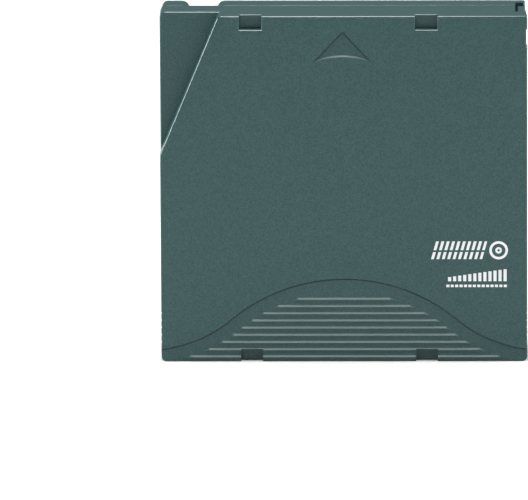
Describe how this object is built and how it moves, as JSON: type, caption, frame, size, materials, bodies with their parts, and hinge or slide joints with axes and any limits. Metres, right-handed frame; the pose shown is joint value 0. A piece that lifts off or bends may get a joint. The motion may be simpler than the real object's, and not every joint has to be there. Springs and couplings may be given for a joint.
{
  "type": "data tape cartridge",
  "caption": "Single-reel half-inch data tape cartridge in a moulded case with sliding access door, write-protect slider, sprung reel brake, leader pin and memory chip.",
  "frame": {"origin": "centre of the cartridge's box at the rear edge it stands on", "axes": "+Z is the loading direction, from the rear edge to the leading edge; the arrow side faces -Y and the hub side +Y; +X is towards the access door"},
  "size_m": [0.1054, 0.0216, 0.102],
  "materials": {
    "shell": "fine moulded grain, dark grey-green",
    "door_plastic": "smooth moulded, dark grey-green",
    "switch_plastic": "smooth moulded, red-orange",
    "reel_plastic": "smooth moulded, light grey",
    "pad_plastic": "smooth moulded, off-white",
    "clip_plastic": "smooth moulded, pale grey",
    "tape": "wound magnetic tape, dark brown",
    "plate_steel": "turned steel",
    "pin_steel": "ground steel",
    "spring_steel": "spring wire",
    "screw_steel": "zinc-plated steel",
    "board": "green circuit board",
    "chip": "black epoxy",
    "copper": "etched copper"
  },
  "bodies": {
    "case": {"upper_shell": "shell", "lower_shell": "shell", "case_screws": "screw_steel", "memory_board": "board", "memory_chip": "chip", "memory_antenna": "copper", "leader_pin": "pin_steel", "leader_clip": "clip_plastic", "tape_leader": "tape", "pin_spring": "spring_steel", "door_spring": "spring_steel", "brake_spring": "spring_steel"},
    "door": {"access_door": "door_plastic"},
    "switch": {"write_protect_switch": "switch_plastic"},
    "reel": {"reel_hub": "reel_plastic", "upper_flange": "reel_plastic", "drive_plate": "plate_steel", "tape_pack": "tape"},
    "pad": {"release_pad": "pad_plastic"},
    "brake": {"brake_button": "clip_plastic", "thrust_ball": "pin_steel"}
  },
  "joints": [
    {"name": "door_slide", "type": "slide", "parent": "case", "child": "door", "axis": [0, 0, -1], "range_m": [0, 0.017], "stiffness_N_per_m": 60, "springref_m": -0.012, "deforming": ["door_spring"]},
    {"name": "switch_slide", "type": "slide", "parent": "case", "child": "switch", "axis": [1, 0, 0], "range_m": [0, 0.005]},
    {"name": "reel_spin", "type": "hinge", "parent": "case", "child": "reel", "pos_m": [-0.00123, 0, 0.051], "axis": [0, -1, 0], "continuous": true},
    {"name": "brake_lift", "type": "slide", "parent": "case", "child": "brake", "axis": [0, -1, 0], "range_m": [0, 0.002], "stiffness_N_per_m": 300, "springref_m": -0.01, "deforming": ["brake_spring"]},
    {"name": "pad_lift", "type": "slide", "parent": "reel", "child": "pad", "axis": [0, -1, 0], "range_m": [0, 0.002]}
  ],
  "couplings": [
    {"joint": "pad_lift", "follows": "brake_lift", "ratio": 1}
  ]
}
